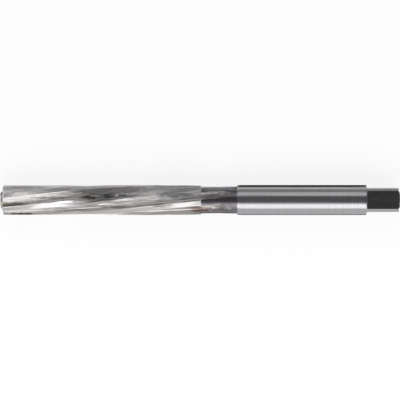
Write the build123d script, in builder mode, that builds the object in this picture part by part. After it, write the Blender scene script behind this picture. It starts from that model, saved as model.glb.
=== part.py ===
from build123d import *
from math import ceil, cos, pi, radians, sin, sqrt, tan
import os

# A hand reamer, cut from one bar of high speed steel. It lies along X with its tip
# towards -X. The origin is on the axis, where the shank meets the drive square.
# Sizes are in millimetres and degrees.

# Lengths, from the tip to the tail
front_boss_length = 0.75
teeth_length = 66.0
neck_length = 12.0
shank_length = 43.0
square_length = 10.75
rear_boss_length = 0.5

# Diameters, and depths below them
reamer_dia = 10.0
shank_undersize = 0.02      # lets the shank follow the teeth through a finished hole
neck_depth = 0.5
flat_depth = 1.0
front_boss_dia = 5.6
rear_boss_dia = 5.5

# Lead: the long taper that starts the tool in its hole, and the bevel in front of it
lead_length = 16.5
lead_drop = 0.12
tip_bevel = 0.4

# Edges
boss_chamfer = 0.2
teeth_back_bevel = 0.2
shank_edge_length = 1.0     # a shallow taper that eases the shank into the hole
shank_edge_drop = 0.15
square_chamfer = 0.25
shoulder_radius = 0.5

# Centre holes, which hold the bar between points while it is ground
center_drill_dia = 1.6
center_cone_dia = 3.4
center_cone_angle = 60
center_depth = 3.5

# Teeth stand in opposite pairs, so that they can be measured across. The spacing grows by
# pitch_step from tooth to tooth over half a turn, which keeps the tool from chattering.
tooth_pairs = 3
pitch_step = 2.0
helix_angle = 7.0
first_tooth_angle = 2.0
flute_depth = 1.55
gullet_radius = 0.5
land_width = 1.9
margin_width = 0.25
relief_angle = 14.0

# The milling cutter lifts out of each flute along its own radius, and the flute runs out
# in the neck this far before the shank
cutter_radius = 30.0
runout_gap = 1.0

# Cutting solids stand out past the metal by this much, and follow their course through
# sections no further apart than these
cutter_reach = 1.5
spiral_spacing = 12.0
runout_spacing = 2.6

reamer_r = reamer_dia / 2
shank_r = (reamer_dia - shank_undersize) / 2
neck_r = shank_r - neck_depth
core_r = reamer_r - flute_depth
lead_r = reamer_r - lead_drop
flat_r = shank_r - flat_depth
front_boss_r = front_boss_dia / 2
rear_boss_r = rear_boss_dia / 2

x_shank_front = -shank_length
x_neck_front = x_shank_front - neck_length
x_teeth_front = x_neck_front - teeth_length
x_lead_end = x_teeth_front + lead_length
x_tip = x_teeth_front - front_boss_length
x_square_end = square_length
x_tail = x_square_end + rear_boss_length

helix_lead = pi * reamer_dia / tan(radians(helix_angle))
even_pitch = 180 / tooth_pairs
pitches = [even_pitch + pitch_step * (pair - (tooth_pairs - 1) / 2) for pair in range(tooth_pairs)]
tooth_angles = [first_tooth_angle + sum(pitches[: pair + 1]) for pair in range(tooth_pairs)]


def polar(radius, angle):
    """A point in a section, by its distance from the axis and its angle in radians."""
    return Vector(radius * cos(angle), radius * sin(angle))


def section_plane(x):
    """The plane across the tool at x, turned with the spiral. Its local X axis runs out
    along a rake face, and the tooth lies on its local +Y side."""
    turn = -2 * pi * (x - x_teeth_front) / helix_lead
    return Plane(origin=(x, 0, 0), x_dir=(0, cos(turn), sin(turn)), z_dir=(1, 0, 0))


def stations(x_start, x_end, spacing):
    """Evenly spaced places along the tool, from x_start to x_end."""
    steps = ceil((x_end - x_start) / spacing)
    return [x_start + (x_end - x_start) * step / steps for step in range(steps + 1)]


def lift_travel(lift):
    """How far the cutter goes along the tool while it lifts by this much."""
    return sqrt(cutter_radius**2 - (cutter_radius - lift) ** 2)


def tooth_gap(pitch):
    """What is cut away between two teeth. In section it runs down the rake face of one
    tooth, round the gullet and up the straight back to the heel of the tooth ahead, then
    along that tooth's relief, which is ground flat behind a narrow round margin."""
    x_lift = x_shank_front - runout_gap - lift_travel(neck_r - core_r)
    x_out = x_lift + lift_travel(flute_depth)
    spiral = stations(x_tip - cutter_reach, x_lead_end, spiral_spacing)[:-1]
    spiral += stations(x_lead_end, x_lift, spiral_spacing)
    runout = stations(x_lift, x_out, runout_spacing)

    margin_angle = margin_width / reamer_r - radians(pitch)
    fall = margin_angle + radians(90 + relief_angle)
    with BuildPart() as gap:
        for course in (spiral, runout):
            for x in course:
                taper = lead_drop * max(0, x_lead_end - x) / lead_length
                run = max(0, x - x_lift)
                lift = Vector(cutter_radius - sqrt(cutter_radius**2 - run**2), 0)
                rake_end = Vector(reamer_r + cutter_reach, 0) + lift
                corner = Vector(core_r, 0) + lift
                margin_end = polar(reamer_r - taper, margin_angle) + lift
                heel = margin_end + polar(land_width - margin_width, fall)
                relief_end = margin_end - polar(cutter_reach, fall)
                outside = Vector(rake_end.X, relief_end.Y)
                with BuildSketch(section_plane(x)):
                    with BuildLine():
                        flute = FilletPolyline(rake_end, corner, heel, radius=gullet_radius)
                        Polyline(flute @ 1, relief_end, outside, flute @ 0)
                    make_face()
            loft()
    return gap.part


tooth_gaps = [tooth_gap(pitch) for pitch in pitches]

with BuildPart() as hand_reamer:
    # Turned bar, with the tapered lead, the thinner neck and a small boss at each end
    with BuildSketch(Plane.XY):
        with BuildLine():
            Polyline(
                (x_tip, 0),
                (x_tip, front_boss_r - boss_chamfer),
                (x_tip + boss_chamfer, front_boss_r),
                (x_teeth_front, front_boss_r),
                (x_teeth_front, lead_r - tip_bevel),
                (x_teeth_front + tip_bevel, lead_r),
                (x_lead_end, reamer_r),
                (x_neck_front - teeth_back_bevel, reamer_r),
                (x_neck_front, reamer_r - teeth_back_bevel),
                (x_neck_front, neck_r),
                (x_shank_front, neck_r),
                (x_shank_front, shank_r - shank_edge_drop),
                (x_shank_front + shank_edge_length, shank_r),
                (x_square_end - square_chamfer, shank_r),
                (x_square_end, shank_r - square_chamfer),
                (x_square_end, rear_boss_r),
                (x_tail - boss_chamfer, rear_boss_r),
                (x_tail, rear_boss_r - boss_chamfer),
                (x_tail, 0),
                close=True,
            )
        make_face()
    revolve(axis=Axis.X)

    # Centre hole in each end
    tip_face = Plane(origin=(x_tip, 0, 0), z_dir=(-1, 0, 0))
    tail_face = Plane(origin=(x_tail, 0, 0), z_dir=(1, 0, 0))
    with Locations(tip_face, tail_face):
        CounterSinkHole(
            radius=center_drill_dia / 2,
            counter_sink_radius=center_cone_dia / 2,
            depth=center_depth,
            counter_sink_angle=center_cone_angle,
        )

    # Drive square: four flats, each ending at the shank in the cutter's corner radius
    for side in range(4):
        with BuildSketch(Plane.XZ.rotated((90 * side, 0, 0))) as flat:
            with BuildLine():
                Polyline(
                    (0, shank_r + cutter_reach),
                    (0, flat_r),
                    (x_tail + cutter_reach, flat_r),
                    (x_tail + cutter_reach, shank_r + cutter_reach),
                    close=True,
                )
            make_face()
            fillet(flat.vertices().sort_by_distance((0, flat_r))[0], radius=shoulder_radius)
        extrude(amount=shank_r + cutter_reach, both=True, mode=Mode.SUBTRACT)

    # Teeth: a gap is cut in front of each one
    for half_turn in (0, 180):
        for tooth_angle, gap in zip(tooth_angles, tooth_gaps):
            add(gap, rotation=(tooth_angle + half_turn, 0, 0), mode=Mode.SUBTRACT)

hand_reamer.part.label = "hand_reamer"
os.makedirs("parts", exist_ok=True)
export_step(hand_reamer.part, "parts/hand_reamer.step")
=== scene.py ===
from math import pi, radians, sin, sqrt, tan

import bmesh
import bpy
import numpy as np
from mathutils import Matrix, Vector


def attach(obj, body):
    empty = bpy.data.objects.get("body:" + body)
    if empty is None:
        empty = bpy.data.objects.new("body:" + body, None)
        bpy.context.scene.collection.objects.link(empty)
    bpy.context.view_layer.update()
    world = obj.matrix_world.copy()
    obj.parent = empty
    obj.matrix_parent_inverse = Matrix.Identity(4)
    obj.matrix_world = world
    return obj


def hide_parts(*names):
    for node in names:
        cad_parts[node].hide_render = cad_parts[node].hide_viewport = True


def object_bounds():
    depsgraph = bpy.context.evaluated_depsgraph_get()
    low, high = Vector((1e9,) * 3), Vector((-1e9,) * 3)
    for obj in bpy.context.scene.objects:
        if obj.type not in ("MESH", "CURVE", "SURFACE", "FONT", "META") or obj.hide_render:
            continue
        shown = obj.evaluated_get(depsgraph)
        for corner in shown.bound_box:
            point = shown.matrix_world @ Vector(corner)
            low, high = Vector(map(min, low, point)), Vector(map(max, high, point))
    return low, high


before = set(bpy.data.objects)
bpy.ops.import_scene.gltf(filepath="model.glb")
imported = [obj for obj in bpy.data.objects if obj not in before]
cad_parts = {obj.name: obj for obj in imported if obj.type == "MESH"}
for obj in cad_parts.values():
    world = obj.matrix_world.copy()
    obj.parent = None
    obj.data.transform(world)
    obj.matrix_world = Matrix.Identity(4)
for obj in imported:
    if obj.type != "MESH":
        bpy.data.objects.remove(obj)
cad_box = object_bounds()

# THE BAR. A hand reamer is turned, milled and ground from one bar of hardened high speed
# steel, so it is one mesh here too, built up from cross-sections along X.

# A section is an x, with a radius and an angle for each point round the bar. Lengths are in
# millimetres until they become mesh corners, and angles turn about +X, from +Y towards +Z.
MM = 0.001
bar = bmesh.new()
corners = {}
finishes = []

# CUTTING PART. Six teeth on a slow left-hand spiral, milled out of the bar and ground. Each
# gap runs down one tooth's rake face, round the gullet and up the straight back to the
# heel of the tooth ahead, whose land is relieved flat behind a narrow round margin.
TIP, TEETH_FRONT, LEAD_END, NECK_FRONT, SHANK_FRONT = -121.75, -121.0, -104.5, -55.0, -43.0
REAMER_R, LEAD_DROP, TIP_BEVEL, BACK_BEVEL = 5.0, 0.12, 0.4, 0.2
CORE_R, GULLET_R, LAND, MARGIN, RELIEF = 3.45, 0.5, 1.9, 0.25, radians(14)
PITCHES = [radians(angle) for angle in (58, 60, 62)] * 2
FIRST_TOOTH, HELIX = radians(2), radians(7)
TWIST = tan(HELIX) / REAMER_R           # radians for each millimetre along the bar

# The milling cutter lifts out of each gap along its own radius, before the shank
CUTTER_R, RUNOUT_GAP, NECK_R = 30.0, 1.0, 4.49
LIFT_START = SHANK_FRONT - RUNOUT_GAP - sqrt(CUTTER_R**2 - (CUTTER_R - NECK_R + CORE_R) ** 2)

# How many faces the relief, the back, the gullet and the rake face of a tooth gap have, and
# the round surface beside it. Each of the four is first drawn in finer steps.
GAP_STEPS, ROUND_STEPS, PATH_STEPS = (4, 6, 8, 4), 12, 40


def gap_path(x, pitch):
    """One tooth gap in section, with the rake face standing up the first axis."""
    edge_r = REAMER_R - LEAD_DROP * max(0.0, LEAD_END - x) / (LEAD_END - TEETH_FRONT)
    lift = CUTTER_R - sqrt(CUTTER_R**2 - max(0.0, x - LIFT_START) ** 2)
    margin = MARGIN / REAMER_R - pitch
    fall = margin + pi / 2 + RELIEF
    margin_end = edge_r * np.array([np.cos(margin), np.sin(margin)])
    heel = margin_end + (LAND - MARGIN) * np.array([np.cos(fall), np.sin(fall)])
    root, rake = np.array([CORE_R, 0.0]), np.array([1.0, 0.0])
    back = (heel - root) / np.linalg.norm(heel - root)
    bend = np.arccos(back @ rake)
    centre = root + (back + rake) / np.linalg.norm(back + rake) * GULLET_R / sin(bend / 2)
    back_end = root + back * GULLET_R / tan(bend / 2)
    begin = np.arctan2(*(back_end - centre)[::-1])
    turns = np.linspace(begin, begin - (pi - bend), PATH_STEPS + 1)
    gullet = centre + GULLET_R * np.stack([np.cos(turns), np.sin(turns)], 1)
    top = rake * (REAMER_R + LAND)
    path = [
        np.linspace(margin_end, heel, PATH_STEPS, endpoint=False),
        np.linspace(heel, gullet[0], PATH_STEPS, endpoint=False),
        gullet[:-1],
        np.linspace(gullet[-1], top, PATH_STEPS + 1),
    ]
    return np.concatenate(path) + (lift, 0.0)


def gap(x, bar_r, pitch):
    """The radii and angles of that path inside a bar of this radius. Where the cutter has
    lifted clear of it, they all lie on the bar's own surface."""
    path = gap_path(x, pitch)
    along = np.append(0, np.cumsum(np.hypot(*np.diff(path, axis=0).T)))
    out = np.hypot(*path.T) - bar_r
    inside = np.flatnonzero(out < 0)
    if len(inside):
        first, last = inside[0], inside[-1]
        before = max(first - 1, 0)
        begin = np.interp(0, [out[first], out[before]], [along[first], along[before]])
        end = np.interp(0, [out[last], out[last + 1]], [along[last], along[last + 1]])
    else:
        begin = end = along[out.argmin()]
    stops = np.clip(along[::PATH_STEPS], begin, end)
    places = [np.linspace(*stops[run:run + 2], steps, endpoint=False)
              for run, steps in enumerate(GAP_STEPS)]
    places = np.append(np.concatenate(places), end)
    up, across = [np.interp(places, along, path[:, axis]) for axis in (0, 1)]
    return np.minimum(np.hypot(up, across), bar_r), np.arctan2(across, up)


def toothed(x, bar_r):
    """The section at x of a bar with this radius, with the six tooth gaps cut out of it."""
    gaps, tooth = [], FIRST_TOOTH - TWIST * (x - TEETH_FRONT)
    for pitch in PITCHES:
        tooth += pitch
        radii, angles = gap(x, bar_r, pitch)
        gaps.append((radii, angles + tooth))
    gaps.append((gaps[0][0], gaps[0][1] + 2 * pi))
    points = []
    for (radii, angles), (_, ahead) in zip(gaps, gaps[1:]):
        points += list(zip(radii[:-1], angles[:-1]))
        points += [(bar_r, angle)
                   for angle in np.linspace(angles[-1], ahead[0], ROUND_STEPS, endpoint=False)]
    return x, points


def paint(code):
    """An sRGB hex colour as the linear colour that a shader takes."""
    levels = [int(code[i:i + 2], 16) / 255 for i in (1, 3, 5)]
    return [v / 12.92 if v <= 0.04045 else ((v + 0.055) / 1.055) ** 2.4 for v in levels] + [1.0]


def node(tree, kind, links=None, **settings):
    """Adds a node. Each link is a socket's name or number, with a value or another node's
    output for it. A colour Mix takes its share at 0 and its two colours at 6 and 7."""
    made = tree.nodes.new(kind)
    for name, value in settings.items():
        setattr(made, name, value)
    for name, source in (links or {}).items():
        if isinstance(source, bpy.types.NodeSocket):
            tree.links.new(source, made.inputs[name])
        else:
            made.inputs[name].default_value = source
    return made


def finish(name):
    """Starts a finish of the bar: its number on the mesh, its nodes, and the place on the
    bar in millimetres."""
    material = bpy.data.materials.new(name)
    material.use_nodes = True
    material.node_tree.nodes.clear()
    finishes.append(material)
    tree = material.node_tree
    place = node(tree, "ShaderNodeVectorMath", {
        0: node(tree, "ShaderNodeTexCoord").outputs["Object"], "Scale": 1 / MM,
    }, operation="SCALE").outputs[0]
    return len(finishes) - 1, tree, place


def along_teeth(tree, place):
    """The place on the bar with the spiral taken out, so that patterns follow the teeth."""
    x = node(tree, "ShaderNodeSeparateXYZ", {0: place}).outputs[0]
    turn = node(tree, "ShaderNodeMath", {0: x, 1: TWIST}, operation="MULTIPLY")
    return node(tree, "ShaderNodeVectorRotate", {"Vector": place, "Angle": turn.outputs[0]},
                rotation_type="X_AXIS").outputs[0]


NOISE_LOW, NOISE_HIGH = 0.3, 0.7        # where nearly all of a noise lies


def grain(tree, place, length, width, detail=2.0):
    """Uneven patches, this long along the bar and this wide round it, from 0 to 1."""
    spread = node(tree, "ShaderNodeMapping", {
        "Vector": place, "Scale": (1 / length, 1 / width, 1 / width),
    })
    noise = node(tree, "ShaderNodeTexNoise", {
        "Vector": spread.outputs[0], "Scale": 1.0, "Detail": detail,
    })
    return node(tree, "ShaderNodeMapRange", {
        "Value": noise.outputs["Fac"], "From Min": NOISE_LOW, "From Max": NOISE_HIGH,
    }).outputs[0]


PATCH_FULL, PATCH_GONE, RAGGEDNESS = 0.75, 1.35, 0.5


def patch(tree, place, ragged, centre, reach):
    """A patch of the bar round this place: 1 inside, fading to 0 at about this distance,
    with an edge as uneven as this grain."""
    offset = node(tree, "ShaderNodeVectorMath", {0: place, 1: centre}, operation="SUBTRACT")
    share = node(tree, "ShaderNodeVectorMath", {0: offset.outputs[0], 1: reach},
                 operation="DIVIDE")
    far = node(tree, "ShaderNodeVectorMath", {0: share.outputs[0]}, operation="LENGTH")
    edge = node(tree, "ShaderNodeMath", {0: ragged, 1: RAGGEDNESS, 2: far.outputs["Value"]},
                operation="MULTIPLY_ADD")
    return node(tree, "ShaderNodeMapRange", {
        "Value": edge.outputs[0], "From Min": PATCH_GONE, "From Max": PATCH_FULL,
    }).outputs[0]


def steel(tree, colour, roughness, links=None):
    """Ends a finish: bare steel of this colour and roughness."""
    shader = node(tree, "ShaderNodeBsdfPrincipled", {
        "Base Color": colour, "Metallic": 1.0, "Roughness": roughness, **(links or {}),
    })
    node(tree, "ShaderNodeOutputMaterial", {"Surface": shader.outputs["BSDF"]})


# Marks on the teeth and run-outs: marks of use, darker patches, and some painted shade and a
# painted reflection. Each has its place, its reach and its colour, and lies over the ones before
# it.
TOOTH_MARKS = [
    # dull films of old oil
    ((-86.0, 3.2, 3.0), (15.0, 2.0, 3.5), "#8F8C8B"),
    ((-62.0, 3.2, 3.0), (11.0, 2.6, 3.5), "#9E9DA0"),
    ((-64.0, 1.3, 4.0), (7.0, 1.1, 3.0), "#A3A2A5"),
    # a land at the tip, polished by chips, and lighter still as a painted reflection of bright
    # surroundings
    ((-116.5, 1.6, 4.0), (8.0, 1.3, 3.0), "#DFDDDC"),
    # darker patches in the flutes and on the tip
    ((-92.2, 0.8, 4.0), (3.6, 0.75, 3.0), "#5E5856"),
    ((-86.0, 1.35, 4.0), (3.2, 0.7, 3.0), "#605B5B"),
    ((-117.0, -1.45, 3.5), (5.5, 0.8, 4.0), "#908D88"),
    ((-121.2, -1.4, 3.5), (1.9, 0.7, 4.0), "#8F8D7B"),
    ((-121.7, 1.9, 3.0), (0.9, 0.9, 4.0), "#5A5755"),
    # painted shade: a dark line along the near edge of the teeth at the tip, standing for the
    # table's shadow beside the tool as the steel reflects it
    ((-115.5, -4.8, 1.0), (6.5, 0.6, 4.0), "#4A4644"),
    # a darker, brownish patch where the teeth end
    ((-55.4, -3.3, 3.0), (3.8, 1.0, 3.0), "#9C8984"),
    # thinner films of oil, drawn out along the teeth and a run-out
    ((-63.8, 1.8, 4.0), (7.0, 1.0, 3.0), "#757376"),
    ((-67.8, -1.9, 4.0), (4.2, 0.8, 3.0), "#848180"),
    ((-84.7, -2.2, 4.0), (6.0, 0.6, 3.0), "#9B9897"),
    ((-113.5, 4.1, 2.5), (11.0, 0.9, 3.0), "#B3B0AF"),
    ((-105.4, 0.8, 4.0), (7.0, 0.5, 3.0), "#A09D9C"),
    ((-101.4, -3.3, 3.5), (9.0, 0.6, 3.0), "#9A9796"),
    ((-51.8, 1.3, 4.0), (4.6, 1.1, 3.0), "#7F7B7C"),
    # strips that chips have rubbed bright
    ((-98.7, -2.2, 4.0), (5.5, 0.6, 3.0), "#F0EEED"),
    ((-100.7, -0.5, 4.0), (4.5, 0.5, 3.0), "#F4F2F1"),
    ((-86.0, -1.5, 4.0), (4.5, 0.5, 3.0), "#EAE8E7"),
    ((-81.4, 0.4, 4.0), (4.5, 0.5, 3.0), "#EAE8E7"),
    ((-52.8, -2.15, 4.0), (3.2, 0.5, 3.0), "#F4F1EE"),
]

# Nicks from other tools in the drawer: small burrs that stand this many times as high as
# the grain of the finish that they are in
NICKS = [(-83.7, 1.55, 4.0), (-78.6, 2.1, 4.0), (-64.0, 1.0, 4.0), (-60.5, 0.6, 4.0)]
NICK_REACH, NICK_HEIGHT = (1.3, 0.32, 3.0), 4.0
TOOTH_RELIEF, RUNOUT_RELIEF = 0.06, 0.15


def worn_steel_and_painted_light(tree, place, colour, roughness, height, relief):
    """Ends a finish of the toothed part: steel with those marks and nicks on it, some of them
    painted shade and reflection, and the height of its grain, which stands out by this many
    millimetres."""
    ragged = grain(tree, place, 1.5, 0.6)
    for centre, reach, shade in TOOTH_MARKS:
        colour = node(tree, "ShaderNodeMix", {
            0: patch(tree, place, ragged, centre, reach), 6: colour, 7: paint(shade),
        }, data_type="RGBA").outputs[2]
    for centre in NICKS:
        height = node(tree, "ShaderNodeMath", {
            0: patch(tree, place, ragged, centre, NICK_REACH), 1: NICK_HEIGHT, 2: height,
        }, operation="MULTIPLY_ADD").outputs[0]
    bump = node(tree, "ShaderNodeBump", {
        "Height": height, "Distance": relief * MM, "Strength": 1.0,
    })
    steel(tree, colour, roughness, {"Normal": bump.outputs[0]})


# Lands: ground by a cup wheel that runs along each tooth. That leaves them the brightest, with
# fine bright and dull lines along them. Real ones are 0.02 mm apart, here 0.4 mm.
LAND_STEEL, tree, place = finish("cutter_ground_high_speed_steel")
spiral = along_teeth(tree, place)
lines = grain(tree, spiral, 12.0, 0.4)
worn = grain(tree, spiral, 5.0, 1.5)
colour = node(tree, "ShaderNodeMix", {
    0: lines, 6: paint("#A3A2A1"), 7: paint("#BDBCBC"),
}, data_type="RGBA").outputs[2]
roughness = node(tree, "ShaderNodeMapRange", {"Value": worn, "To Min": 0.26, "To Max": 0.36})
height = node(tree, "ShaderNodeMath", {0: lines, 1: 0.1, 2: worn}, operation="MULTIPLY_ADD")
worn_steel_and_painted_light(tree, place, colour, roughness.outputs[0], height.outputs[0], TOOTH_RELIEF)

# Backs of the flutes: milled, hardened and rubbed by chips. They are duller and warmer than the
# lands, with blotches and streaks drawn out along them, and lightest in front where they cut.
RUBBED_FRONT, RUBBED_END = -104.0, -92.0
FLUTE_STEEL, tree, place = finish("milled_high_speed_steel")
spiral = along_teeth(tree, place)
streaks = grain(tree, spiral, 4.0, 0.8, 3.0)
blotches = grain(tree, spiral, 9.0, 2.5, 3.0)
rubbed = node(tree, "ShaderNodeMapRange", {
    "Value": node(tree, "ShaderNodeSeparateXYZ", {0: place}).outputs[0],
    "From Min": RUBBED_END, "From Max": RUBBED_FRONT,
})
colour = node(tree, "ShaderNodeMix", {
    0: streaks, 6: paint("#A09C9A"), 7: paint("#C2BFBE"),
}, data_type="RGBA").outputs[2]
colour = node(tree, "ShaderNodeMix", {
    0: rubbed.outputs[0], 6: colour, 7: paint("#DEDBDA"),
}, data_type="RGBA").outputs[2]
roughness = node(tree, "ShaderNodeMapRange", {"Value": blotches, "To Min": 0.42, "To Max": 0.6})
height = node(tree, "ShaderNodeMath", {0: streaks, 1: 3.0}, operation="MULTIPLY")
worn_steel_and_painted_light(tree, place, colour, roughness.outputs[0], height.outputs[0], TOOTH_RELIEF)

# Rake faces and gullets: ground with the edge of a dish wheel, and scoured by the chips that
# curl there. They are pale and satin.
RAKE_STEEL, tree, place = finish("dish_ground_high_speed_steel")
streaks = grain(tree, along_teeth(tree, place), 5.0, 0.5, 3.0)
colour = node(tree, "ShaderNodeMix", {
    0: streaks, 6: paint("#C4C0BE"), 7: paint("#E2DFDD"),
}, data_type="RGBA").outputs[2]
roughness = node(tree, "ShaderNodeMapRange", {"Value": streaks, "To Min": 0.45, "To Max": 0.58})
worn_steel_and_painted_light(tree, place, colour, roughness.outputs[0], streaks, TOOTH_RELIEF)


def corner(x, r, angle):
    """The mesh corner at this place, made once however often it is named."""
    place = (round(x, 5), round(r * np.cos(angle), 5), round(r * np.sin(angle), 5))
    if place not in corners:
        corners[place] = bar.verts.new([axis * MM for axis in place])
    return corners[place]


def skin(sections, columns):
    """Lays faces between cross-sections. Each column of faces has its own finish."""
    count = len(columns)
    for front, back in zip(sections, sections[1:]):
        for column, number in enumerate(columns):
            following = (column + 1) % count
            spots = dict.fromkeys(
                corner(x, *points[step])
                for (x, points), step in (
                    (front, column), (front, following), (back, following), (back, column)
                )
            )
            if len(spots) > 2:
                bar.faces.new(spots).material_index = number


gap_finish = [LAND_STEEL] * GAP_STEPS[0] + [FLUTE_STEEL] * GAP_STEPS[1]
gap_finish += [RAKE_STEEL] * sum(GAP_STEPS[2:])
teeth_finish = (gap_finish + [LAND_STEEL] * ROUND_STEPS) * len(PITCHES)
RING_STEPS = len(teeth_finish)
LEAD_R = REAMER_R - LEAD_DROP

# Sections stand this far apart along the teeth, and this far from the teeth's two ends, where
# the bevels have sections of their own
TOOTH_SPACING, FRONT_CLEAR, BACK_CLEAR = 0.75, 1.0, 0.5
tooth_places = np.arange(TEETH_FRONT + FRONT_CLEAR, NECK_FRONT - BACK_CLEAR, TOOTH_SPACING)
stations = [(TEETH_FRONT, LEAD_R - TIP_BEVEL), (TEETH_FRONT + TIP_BEVEL, LEAD_R)]
stations += [(x, np.interp(x, [TEETH_FRONT, LEAD_END], [LEAD_R, REAMER_R]))
             for x in tooth_places]
stations += [(NECK_FRONT - BACK_BEVEL, REAMER_R), (NECK_FRONT, REAMER_R - BACK_BEVEL)]
stations += [(NECK_FRONT, NECK_R)]
teeth = [toothed(x, r) for x, r in stations]
skin(teeth, teeth_finish)

# NECK. Half a millimetre thinner, turned before hardening. The flutes run out in it where the
# cutter lifted along its own radius, and leave bright tongues.

# It keeps the salt bath's skin: near black with a purple cast, dull and mottled
NECK_SKIN, tree, place = finish("heat_treated_high_speed_steel")
mottle = grain(tree, place, 2.5, 1.2, 3.0)
colour = node(tree, "ShaderNodeMix", {
    0: mottle, 6: paint("#605D63"), 7: paint("#787479"),
}, data_type="RGBA").outputs[2]
roughness = node(tree, "ShaderNodeMapRange", {"Value": mottle, "To Min": 0.32, "To Max": 0.24})
steel(tree, colour, roughness.outputs[0])

# Run-outs: the cutter's marks, half covered by the same skin. They look pale and streaky, and
# darker towards their ends.
RUNOUT_STEEL, tree, place = finish("part_skinned_milled_high_speed_steel")
fading = node(tree, "ShaderNodeMapRange", {
    "Value": node(tree, "ShaderNodeSeparateXYZ", {0: place}).outputs[0],
    "From Min": NECK_FRONT, "From Max": SHANK_FRONT, "To Min": 0.25, "To Max": -0.55,
})
streaks = grain(tree, along_teeth(tree, place), 2.5, 0.5, 3.0)
bare = node(tree, "ShaderNodeMath", {0: streaks, 1: fading.outputs[0]},
            operation="ADD", use_clamp=True)
colour = node(tree, "ShaderNodeMix", {
    0: bare.outputs[0], 6: paint("#7F7B7C"), 7: paint("#DDD8D4"),
}, data_type="RGBA").outputs[2]
worn_steel_and_painted_light(tree, place, colour, 0.45, streaks, RUNOUT_RELIEF)

# The last section is just past the run-outs, where the bar is round again. Before it, the
# sections stand closer together over the run-outs' last millimetre.
NECK_SPACING, LAST_STRETCH, LAST_SECTIONS = 0.5, 1.0, 9
RUNOUT_END = SHANK_FRONT - RUNOUT_GAP + 0.1
neck_places = np.append(np.arange(NECK_FRONT, RUNOUT_END - LAST_STRETCH, NECK_SPACING),
                        np.linspace(RUNOUT_END - LAST_STRETCH, RUNOUT_END, LAST_SECTIONS))
neck =[toothed(x, NECK_R) for x in neck_places]
neck_finish = ([RUNOUT_STEEL] * len(gap_finish) + [NECK_SKIN] * ROUND_STEPS) * len(PITCHES)
skin(neck, neck_finish)
neck_angles = np.array([angle for _, angle in neck[-1][1]])

# SHANK. Ground round between centres to just under the reamer's size, so that it can follow the
# teeth through the hole. A shallow taper eases its front edge.
SHANK_R, EDGE_LENGTH, EDGE_DROP, SHANK_SECTIONS = 4.99, 1.0, 0.15, 24

# The wheel turns across the bar, so its fine lines run round it. Real ones are 0.02 mm apart,
# here 0.5 mm.
SHANK_STEEL, tree, place = finish("cylindrically_ground_high_speed_steel")
rings = grain(tree, place, 0.5, 40.0, 1.0)
patches = grain(tree, place, 14.0, 5.0)
colour = node(tree, "ShaderNodeMix", {
    0: rings, 6: paint("#9E9EA1"), 7: paint("#A8A9AB"),
}, data_type="RGBA").outputs[2]
tint = node(tree, "ShaderNodeMath", {0: patches, 1: 0.5}, operation="MULTIPLY")
colour = node(tree, "ShaderNodeMix", {
    0: tint.outputs[0], 6: colour, 7: paint("#A0999D"),
}, data_type="RGBA").outputs[2]
roughness = node(tree, "ShaderNodeMapRange", {"Value": patches, "To Min": 0.19, "To Max": 0.25})
steel(tree, colour, roughness.outputs[0])


def turned(x, r, angles):
    """A round section with its points at these angles."""
    return x, [(r, angle) for angle in angles]


shank_edge = turned(SHANK_FRONT, SHANK_R - EDGE_DROP, neck_angles)
skin([neck[-1], turned(SHANK_FRONT, NECK_R, neck_angles), shank_edge], [NECK_SKIN] * RING_STEPS)

# DRIVE SQUARE. Four flats are milled on the end for the wrench. The corners between them keep
# the ground surface of the shank.
FLAT_R, SHOULDER_R, SQUARE_END, SQUARE_CHAMFER = 3.99, 0.5, 10.75, 0.25
SHOULDER_STEPS, FLAT_STEPS = 10, 31
CORNER_STEPS = RING_STEPS // 4 - FLAT_STEPS

# The flats keep an even black skin from the heat treatment, dull and barely mottled
FLAT_SKIN, tree, place = finish("blackened_milled_high_speed_steel")
colour = node(tree, "ShaderNodeMix", {
    0: grain(tree, place, 3.0, 1.5, 3.0), 6: paint("#585759"), 7: paint("#626164"),
}, data_type="RGBA").outputs[2]
steel(tree, colour, 0.35)


def squared(x, flat_r, bar_r):
    """A round section with four flats at this distance from the axis."""
    half = np.arccos(flat_r / bar_r)
    flat = np.arctan(np.linspace(-tan(half), tan(half), FLAT_STEPS, endpoint=False))
    between = np.linspace(half, pi / 2 - half, CORNER_STEPS, endpoint=False)
    quarter = [(flat_r / np.cos(angle), angle) for angle in flat]
    quarter += [(bar_r, angle) for angle in between]
    return x, [(r, angle + side * pi / 2) for side in range(4) for r, angle in quarter]


def begun_at(first, ring):
    """The same ring of points or finishes, begun at this one."""
    return ring[first:] + ring[:first]


# The square's points are begun at the one that is nearest to where the teeth's points begin,
# and the shank's turn from one to the other along it
ring_angles = np.array([angle for _, angle in squared(0, FLAT_R + SHOULDER_R, SHANK_R)[1]])
turns = (ring_angles - neck_angles[0]) / (2 * pi)
FIRST_POINT = int(np.abs(turns - np.round(turns)).argmin())
shoulder_angles = np.append(ring_angles[FIRST_POINT:], ring_angles[:FIRST_POINT] + 2 * pi)
shoulder_angles -= 2 * pi * np.round(turns[FIRST_POINT])
shank = [shank_edge]
shank += [turned(x, SHANK_R, neck_angles + share * (shoulder_angles - neck_angles))
          for share, x in zip(np.linspace(0, 1, SHANK_SECTIONS),
                              np.linspace(SHANK_FRONT + EDGE_LENGTH, 0, SHANK_SECTIONS))]
skin(shank, [SHANK_STEEL] * RING_STEPS)

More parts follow.
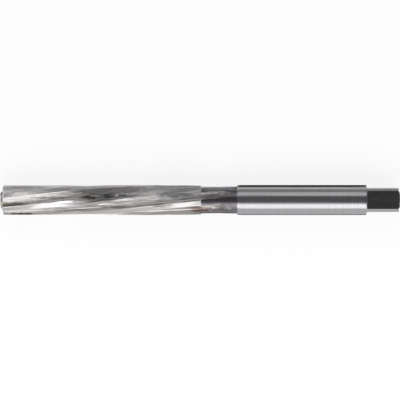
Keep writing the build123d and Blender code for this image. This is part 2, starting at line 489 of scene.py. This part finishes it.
SQUARE_PLACES = (3.0, 6.0, SQUARE_END - SQUARE_CHAMFER)
square = [squared(SHOULDER_R * (1 - np.cos(turn)), FLAT_R + SHOULDER_R * (1 - sin(turn)), SHANK_R)
          for turn in np.linspace(0, pi / 2, SHOULDER_STEPS + 1)]
square += [squared(x, FLAT_R, SHANK_R) for x in SQUARE_PLACES]
square.append(squared(SQUARE_END, FLAT_R, SHANK_R - SQUARE_CHAMFER))
square = [(x, begun_at(FIRST_POINT, points)) for x, points in square]
square_finish = ([FLAT_SKIN] * FLAT_STEPS + [SHANK_STEEL] * CORNER_STEPS) * 4
skin([turned(0.0, SHANK_R, shoulder_angles)] + square, begun_at(FIRST_POINT, square_finish))

# ENDS. A small boss at each end holds a 60 degree centre hole, in which the bar turned between
# points while it was ground.
TAIL, FRONT_BOSS_R, REAR_BOSS_R, BOSS_CHAMFER = 11.25, 2.8, 2.75, 0.2
DRILL_R, CONE_R, CONE_ANGLE, CENTER_DEPTH = 0.8, 1.7, radians(60), 3.5
CONE_DEPTH = (CONE_R - DRILL_R) / tan(CONE_ANGLE / 2)
END_STEPS = 72


def plate(rings, number):
    """Fills the flat face between two sections, or within one."""
    edges = []
    for x, points in rings:
        loop = [corner(x, *point) for point in points]
        for a, b in zip(loop, loop[1:] + loop[:1]):
            if a != b:
                edges.append(bar.edges.get((a, b)) or bar.edges.new((a, b)))
    made = bmesh.ops.triangle_fill(bar, use_beauty=True, use_dissolve=False, edges=edges)
    for face in made["geom"]:
        if isinstance(face, bmesh.types.BMFace):
            face.material_index = number


def end(outer, boss_r, face_x, end_x, number):
    """The flat end of the bar, its boss and the centre hole in that."""
    into = 1 if end_x < face_x else -1
    profile = [
        (face_x, boss_r), (end_x + into * BOSS_CHAMFER, boss_r), (end_x, boss_r - BOSS_CHAMFER),
        (end_x, CONE_R), (end_x + into * CONE_DEPTH, DRILL_R),
        (end_x + into * CENTER_DEPTH, DRILL_R),
    ]
    round_angles = np.linspace(0, 2 * pi, END_STEPS, endpoint=False)
    boss = [turned(x, r, round_angles) for x, r in profile]
    plate([outer, boss[0]], number)
    skin(boss, [number] * END_STEPS)
    plate([boss[-1]], number)


end(teeth[0], FRONT_BOSS_R, TEETH_FRONT, TIP, LAND_STEEL)
end(square[-1], REAR_BOSS_R, SQUARE_END, TAIL, FLAT_SKIN)

# Edges that turn by more than this are sharp. The rest shade smoothly.
SHARP_TURN = radians(10.5)
bmesh.ops.recalc_face_normals(bar, faces=bar.faces)
for edge in bar.edges:
    edge.smooth = len(edge.link_faces) == 2 and edge.calc_face_angle() < SHARP_TURN
for face in bar.faces:
    face.smooth = True
mesh = bpy.data.meshes.new("reamer")
bar.to_mesh(mesh)
bar.free()
for material in finishes:
    mesh.materials.append(material)
reamer = bpy.data.objects.new("reamer", mesh)
bpy.context.collection.objects.link(reamer)
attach(reamer, "root")
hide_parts("hand_reamer")

# FLOOR. A pale matt table top. It shows white to the camera and in the steel's reflections,
# and keeps the tool's own shadow. From here on, lengths are in metres.
FLOOR_SIZE, FLOOR_GLOW = 4.0, 0.84
half, low = FLOOR_SIZE / 2, cad_box[0].z
floor_mesh = bpy.data.meshes.new("floor")
floor_mesh.from_pydata(
    [(-half, -half, low), (half, -half, low), (half, half, low), (-half, half, low)],
    [], [(0, 1, 2, 3)],
)
floor = bpy.data.objects.new("floor", floor_mesh)
bpy.context.collection.objects.link(floor)
table = bpy.data.materials.new("matt_white_laminate")
table.use_nodes = True
tree = table.node_tree
tree.nodes.clear()
rays = node(tree, "ShaderNodeLightPath")
seen = rays.outputs["Is Camera Ray"]
for kind in ("Is Glossy Ray", "Is Transmission Ray"):
    seen = node(tree, "ShaderNodeMath", {0: seen, 1: rays.outputs[kind]},
                operation="MAXIMUM").outputs[0]
glow = node(tree, "ShaderNodeMath", {0: seen, 1: FLOOR_GLOW}, operation="MULTIPLY")
matt = node(tree, "ShaderNodeBsdfPrincipled", {
    "Base Color": paint("#727272"), "Roughness": 0.9, "Specular IOR Level": 0.2,
    "Emission Color": (1, 1, 1, 1), "Emission Strength": glow.outputs[0],
})
node(tree, "ShaderNodeOutputMaterial", {"Surface": matt.outputs["BSDF"]})
floor_mesh.materials.append(table)

# LIGHT. A white tent all round, one strip lamp low on the near side, a pale grey flag overhead
# and a paler card low on the far side.
world = bpy.data.worlds.new("white_tent")
bpy.context.scene.world = world
world.use_nodes = True
world.node_tree.nodes["Background"].inputs["Color"].default_value = (1, 1, 1, 1)
world.node_tree.nodes["Background"].inputs["Strength"].default_value = 1.0

MIDDLE = -0.05535                       # of the picture, along the tool
LAMP_LENGTH, LAMP_DISTANCE, LAMP_BRIGHTNESS, CARD_LENGTH = 1.4, 0.6, 1.45, 1.6


def strip(low_angle, high_angle, distance):
    """How a strip along the tool stands so that it spans these angles, from straight up
    towards +Y: its centre, its tilt and its width."""
    tilt = radians(low_angle + high_angle) / 2
    width = 2 * distance * tan(radians(high_angle - low_angle) / 2)
    return (MIDDLE, distance * sin(tilt), distance * np.cos(tilt)), -tilt, width


def felt(name, shade):
    """Matt felt of this colour, which covers a card."""
    material = bpy.data.materials.new(name)
    material.use_nodes = True
    shader = material.node_tree.nodes["Principled BSDF"]
    shader.inputs["Base Color"].default_value = paint(shade)
    shader.inputs["Roughness"].default_value = 1.0
    return material


def card(name, shade, low_angle, high_angle, distance):
    """A matt card along the tool, which only shows in its reflections."""
    centre, tilt, width = strip(low_angle, high_angle, distance)
    mesh = bpy.data.meshes.new(name)
    x, y = CARD_LENGTH / 2, width / 2
    mesh.from_pydata([(-x, -y, 0), (x, -y, 0), (x, y, 0), (-x, y, 0)], [], [(0, 1, 2, 3)])
    mesh.materials.append(felt(name + "_felt", shade))
    stand = bpy.data.objects.new(name, mesh)
    stand.location = centre
    stand.rotation_euler = (tilt, 0, 0)
    stand.visible_camera = False
    bpy.context.collection.objects.link(stand)


centre, tilt, width = strip(-67, -32, LAMP_DISTANCE)
lamp = bpy.data.lights.new("strip_lamp", "AREA")
lamp.shape = "RECTANGLE"
lamp.size, lamp.size_y = LAMP_LENGTH, width
lamp.energy = LAMP_BRIGHTNESS * pi * LAMP_LENGTH * width
lamp_object = bpy.data.objects.new("strip_lamp", lamp)
lamp_object.location = centre
lamp_object.rotation_euler = (tilt, 0, 0)
lamp_object.visible_camera = False
bpy.context.collection.objects.link(lamp_object)
card("overhead_flag", "#BABABA", -23, 32, 0.65)
card("far_card", "#D8D8D8", 62, 100, 0.7)

# Black cards lie on the table close behind the tool and in front of it, where its edges look
# dark: painted shade, standing for the table's shadow beside the tool as the steel reflects it.
# They only show in the steel. Each has a left and a right end, and two sides along it.
SHADOW_CARDS = [
    (-0.0703, -0.0555, 0.0053, 0.0180),
    (-0.0435, 0.0003, 0.0053, 0.0180),
    (-0.1213, -0.1055, -0.0095, -0.0053),
    (-0.0795, 0.0003, -0.0095, -0.0053),
]
CARD_THICKNESS = 0.0001
shadow_card_mesh = bpy.data.meshes.new("shadow_cards")
shadow_card_corners = [(x, y, low + CARD_THICKNESS) for left, right, near, far in SHADOW_CARDS
                for x, y in ((left, near), (right, near), (right, far), (left, far))]
shadow_card_faces = [range(first, first + 4) for first in range(0, len(shadow_card_corners), 4)]
shadow_card_mesh.from_pydata(shadow_card_corners, [], shadow_card_faces)
shadow_card_mesh.materials.append(felt("shadow_card_felt", "#060606"))
shadow_cards = bpy.data.objects.new("shadow_cards", shadow_card_mesh)
shadow_cards.visible_camera = False
shadow_cards.visible_diffuse = False
shadow_cards.visible_shadow = False
bpy.context.collection.objects.link(shadow_cards)

# CAMERA. It looks straight down on the tool lying on the table.
DISTANCE, FRAME_WIDTH, SENSOR_WIDTH = 1.2, 0.1333, 36.0
camera = bpy.data.cameras.new("camera")
camera.sensor_width = SENSOR_WIDTH
camera.lens = SENSOR_WIDTH * DISTANCE / FRAME_WIDTH
camera_object = bpy.data.objects.new("camera", camera)
camera_object.location = (MIDDLE, 0, DISTANCE)
bpy.context.collection.objects.link(camera_object)
bpy.context.scene.camera = camera_object
bpy.context.scene.view_settings.view_transform = "Standard"
